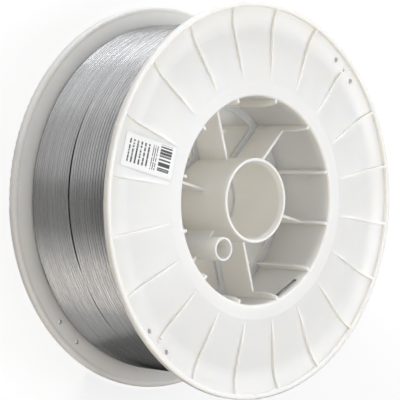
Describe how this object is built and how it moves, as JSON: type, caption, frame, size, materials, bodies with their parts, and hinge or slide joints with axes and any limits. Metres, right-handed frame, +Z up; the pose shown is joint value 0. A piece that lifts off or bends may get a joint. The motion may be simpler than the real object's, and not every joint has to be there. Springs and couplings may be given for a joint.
{
  "type": "welding wire spool",
  "caption": "Full spool of welding wire: two ribbed plastic flanges on a barrel with a spoked hub and a drive hole, wound with steel wire.",
  "frame": {"origin": "on the spool's axis at mid-width, in the middle of the hub bore", "axes": "+Z up along the axis from the back flange, on which the spool lies, to the labelled front flange; +X in the flange's plane, with the drive hole 226.7 degrees from it towards +Y"},
  "size_m": [0.27, 0.27, 0.101],
  "materials": {
    "spool_plastic": "satin moulded",
    "wire": "bright drawn",
    "label": "matte"
  },
  "bodies": {
    "root": {"front_half": "spool_plastic", "back_half": "spool_plastic", "wire_winding": "wire", "wire_start": "wire", "paper_label": "label"}
  },
  "joints": []
}
